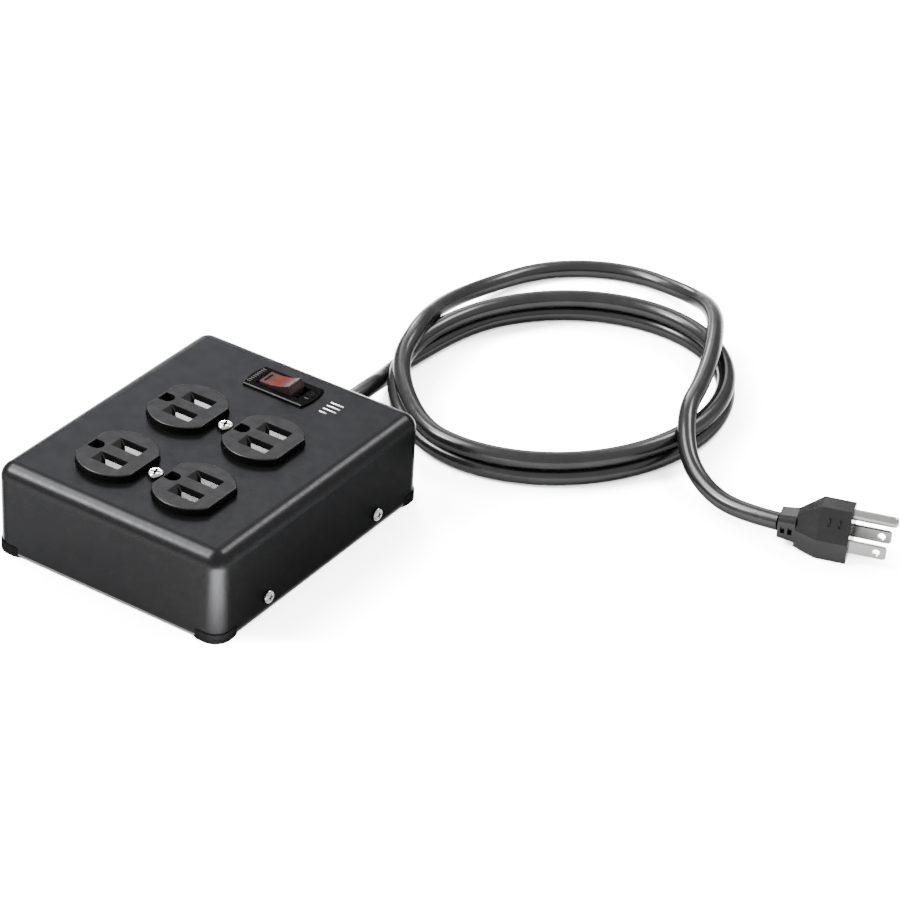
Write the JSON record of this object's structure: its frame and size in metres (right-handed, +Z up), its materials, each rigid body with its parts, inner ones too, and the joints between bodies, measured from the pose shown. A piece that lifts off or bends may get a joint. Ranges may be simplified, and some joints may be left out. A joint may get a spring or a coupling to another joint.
{
  "type": "surge protector",
  "caption": "Steel-cased surge protector with grounded outlets in two pairs, a lit rocker breaker switch, rubber corner feet and a coiled cord with a grounded plug.",
  "frame": {"origin": "on the floor, under the middle of the case (the cord and its plug left out)", "axes": "+Z up out of the outlets, +Y along the long side of the case towards the wall that the cord leaves, +X along each pair of outlets"},
  "size_m": [0.3008, 0.3581, 0.0462],
  "materials": {
    "case_paint": "satin",
    "plate_steel": "satin",
    "nickel_screw": "polished",
    "foot_rubber": "matte",
    "face_plastic": "fine grain",
    "body_plastic": "matte",
    "brass": "rolled",
    "zinc_steel": "zinc plated",
    "bezel_plastic": "satin",
    "rocker_plastic": "smoky red, translucent",
    "lamp_glass": "clear",
    "board": "satin",
    "varistor_blue": "dipped epoxy",
    "fuse_white": "ceramic",
    "capacitor_yellow": "moulded",
    "resistor_tan": "lacquered",
    "wire_black": "satin",
    "wire_white": "satin",
    "wire_green": "satin",
    "cord_jacket": "satin vinyl",
    "plug_vinyl": "satin vinyl",
    "plug_nickel": "nickel plated"
  },
  "bodies": {
    "case": {"base_plate": "plate_steel", "board_screws": "nickel_screw", "breaker_bimetal": "zinc_steel", "centre_screw_front": "nickel_screw", "centre_screw_rear": "nickel_screw", "cord_bushing": "cord_jacket", "cord_coil": "cord_jacket", "cord_inner": "cord_jacket", "cord_lead": "cord_jacket", "cord_tail": "cord_jacket", "filter_capacitor": "capacitor_yellow", "foot_front_left": "foot_rubber", "foot_front_right": "foot_rubber", "foot_rear_left": "foot_rubber", "foot_rear_right": "foot_rubber", "ground_contact_front": "brass", "ground_contact_rear": "brass", "ground_jumper": "wire_green", "ground_wire": "wire_green", "indicator_lamp": "lamp_glass", "lamp_resistor": "resistor_tan", "line_contact_front": "brass", "line_contact_rear": "brass", "line_jumper": "wire_black", "line_wire": "wire_black", "neutral_contact_front": "brass", "neutral_contact_rear": "brass", "neutral_jumper": "wire_white", "neutral_wire": "wire_white", "plug_body": "plug_vinyl", "plug_collar": "plug_vinyl", "plug_ground_pin": "plug_nickel", "plug_line_blade": "plug_nickel", "plug_neutral_blade": "plug_nickel", "receptacle_body_front": "body_plastic", "receptacle_body_rear": "body_plastic", "receptacle_face_front": "face_plastic", "receptacle_face_rear": "face_plastic", "side_screws": "nickel_screw", "strap_front": "zinc_steel", "strap_rear": "zinc_steel", "surge_board": "board", "switch_housing": "bezel_plastic", "switch_terminals": "brass", "switched_line_wire": "wire_black", "terminal_screws_front": "brass", "terminal_screws_rear": "brass", "thermal_fuse": "fuse_white", "top_cover": "case_paint", "varistor_line_ground": "varistor_blue", "varistor_line_neutral": "varistor_blue", "varistor_neutral_ground": "varistor_blue"},
    "rocker": {"rocker": "rocker_plastic", "switch_spring": "zinc_steel", "switch_plunger": "brass"},
    "contact_arm": {"contact_arm": "brass"}
  },
  "joints": [
    {"name": "rocker_tilt", "type": "hinge", "parent": "case", "child": "rocker", "pos_m": [0, 0.0491, 0.0359], "axis": [0, 1, 0], "range_deg": [0, 20.8]},
    {"name": "contact_tilt", "type": "hinge", "parent": "case", "child": "contact_arm", "pos_m": [0, 0.0491, 0.0259], "axis": [0, 1, 0], "range_deg": [-16, 0]}
  ],
  "couplings": [
    {"joint": "contact_tilt", "follows": "rocker_tilt", "ratio": -0.76923}
  ]
}
